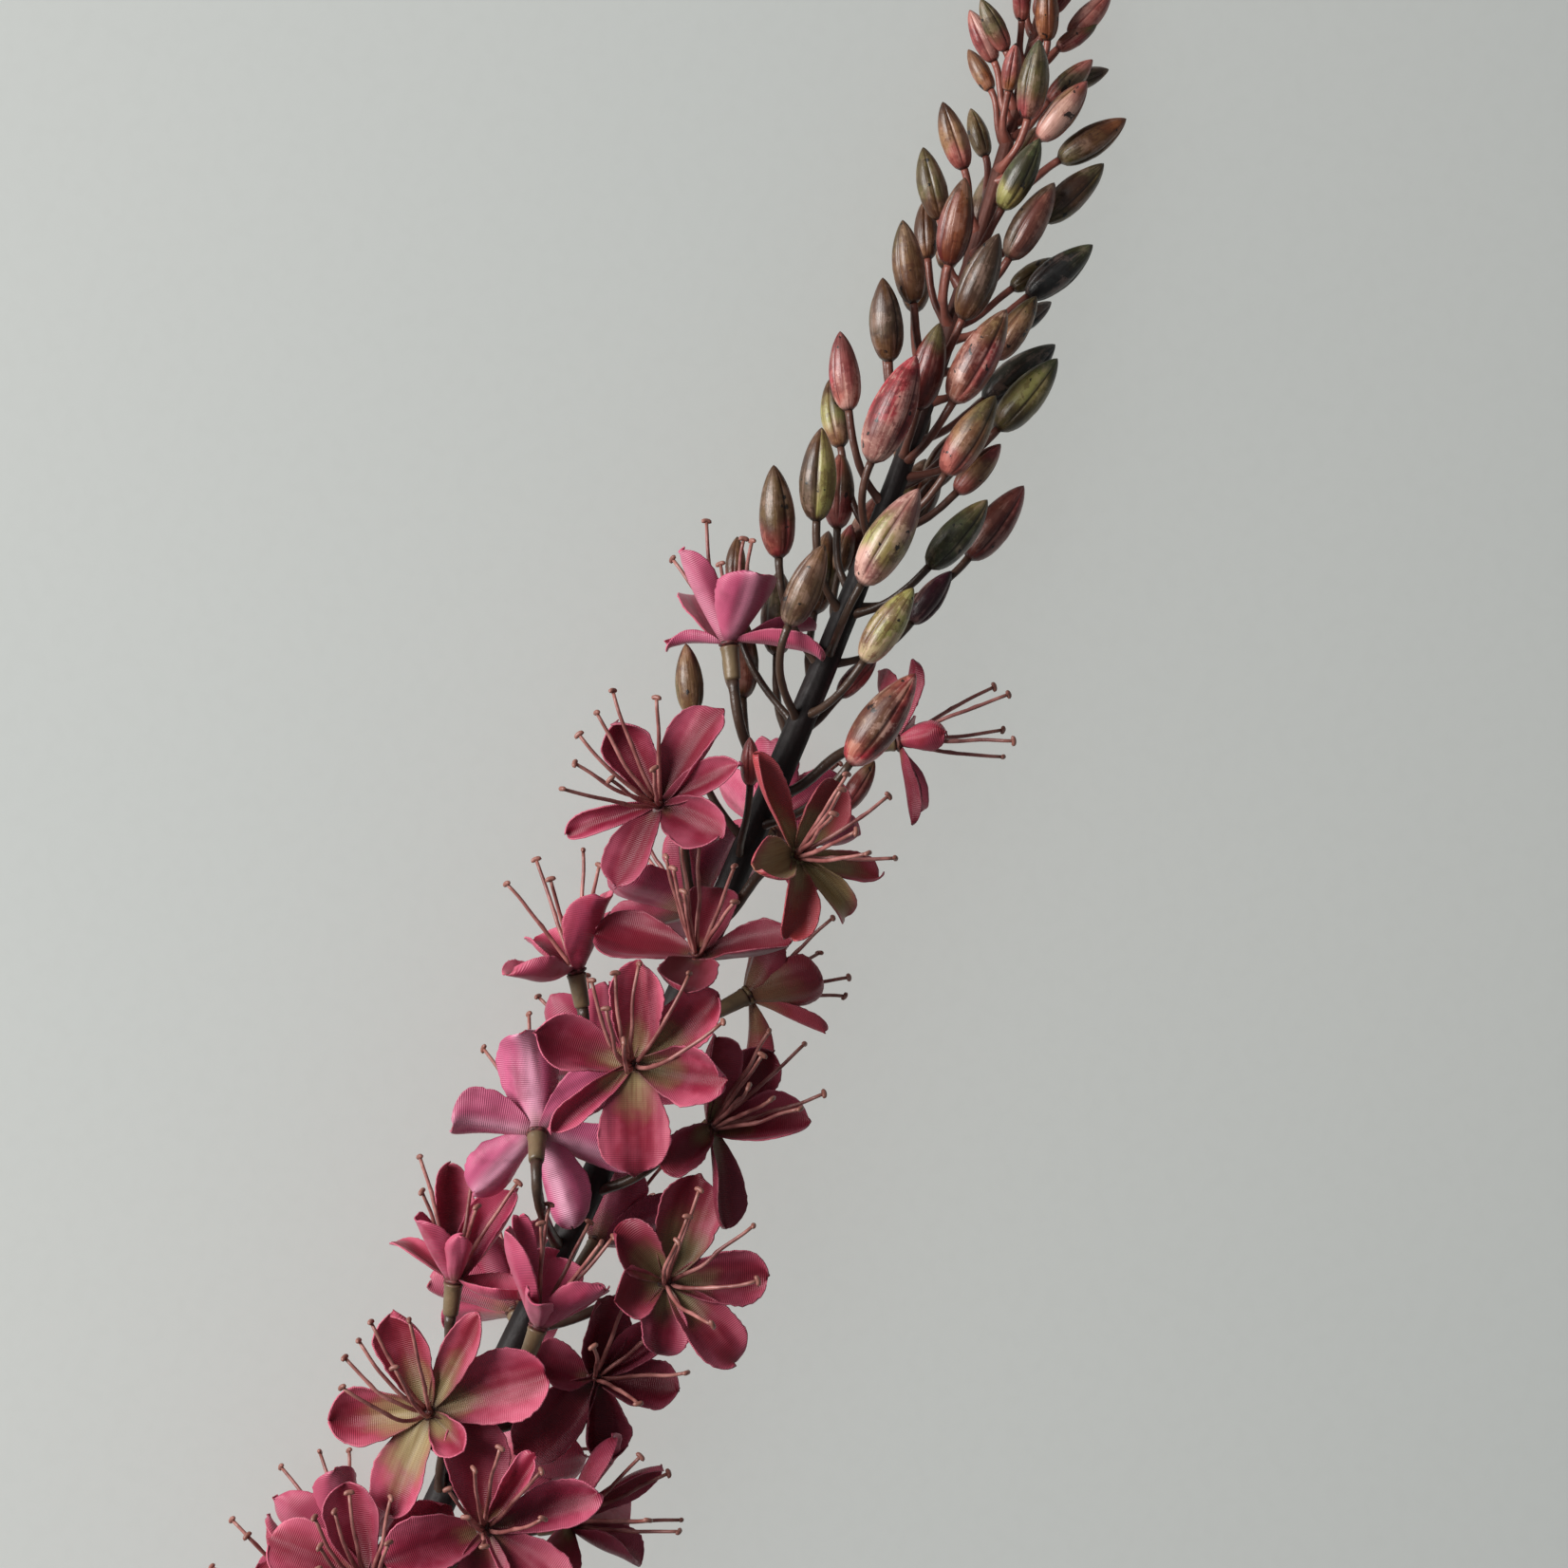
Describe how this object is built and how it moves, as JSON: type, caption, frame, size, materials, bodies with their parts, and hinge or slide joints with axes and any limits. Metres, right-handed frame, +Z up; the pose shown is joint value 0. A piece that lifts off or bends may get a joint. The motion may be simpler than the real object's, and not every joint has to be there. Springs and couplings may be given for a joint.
{
  "type": "artificial foxtail lily flower spike",
  "caption": "Long artificial flower spike lying on its side: open six-petalled blooms with long stamens round the lower stem, pointed buds on arching stalks towards the tip.",
  "frame": {"origin": "middle of the box round the spike, on the surface that it lies on", "axes": "+X along the stem from its cut end to the tip, +Z up"},
  "size_m": [0.4648, 0.1014, 0.0853],
  "materials": {
    "stem": "satin moulded plastic, dark brown stem with pink and olive buds",
    "petals": "satin-woven fabric, rose pink with olive centres",
    "stamens": "satin moulded plastic, tan pink"
  },
  "bodies": {
    "root": {"stem_and_buds": "stem", "bloom_01_petals": "petals", "bloom_01_stamens": "stamens", "bloom_02_petals": "petals", "bloom_02_stamens": "stamens", "bloom_03_petals": "petals", "bloom_03_stamens": "stamens", "bloom_04_petals": "petals", "bloom_04_stamens": "stamens", "bloom_05_petals": "petals", "bloom_05_stamens": "stamens", "bloom_06_petals": "petals", "bloom_06_stamens": "stamens", "bloom_07_petals": "petals", "bloom_07_stamens": "stamens", "bloom_08_petals": "petals", "bloom_08_stamens": "stamens", "bloom_09_petals": "petals", "bloom_09_stamens": "stamens", "bloom_10_petals": "petals", "bloom_10_stamens": "stamens", "bloom_11_petals": "petals", "bloom_11_stamens": "stamens", "bloom_12_petals": "petals", "bloom_12_stamens": "stamens", "bloom_13_petals": "petals", "bloom_13_stamens": "stamens", "bloom_14_petals": "petals", "bloom_14_stamens": "stamens", "bloom_15_petals": "petals", "bloom_15_stamens": "stamens", "bloom_16_petals": "petals", "bloom_16_stamens": "stamens", "bloom_17_petals": "petals", "bloom_17_stamens": "stamens", "bloom_18_petals": "petals", "bloom_18_stamens": "stamens", "bloom_19_petals": "petals", "bloom_19_stamens": "stamens", "bloom_20_petals": "petals", "bloom_20_stamens": "stamens", "bloom_21_petals": "petals", "bloom_21_stamens": "stamens", "bloom_22_petals": "petals", "bloom_22_stamens": "stamens", "bloom_23_petals": "petals", "bloom_23_stamens": "stamens", "bloom_24_petals": "petals", "bloom_24_stamens": "stamens", "bloom_25_petals": "petals", "bloom_25_stamens": "stamens", "bloom_26_petals": "petals", "bloom_26_stamens": "stamens", "bloom_27_petals": "petals", "bloom_27_stamens": "stamens", "bloom_28_petals": "petals", "bloom_28_stamens": "stamens", "bloom_29_petals": "petals", "bloom_29_stamens": "stamens"}
  },
  "joints": []
}
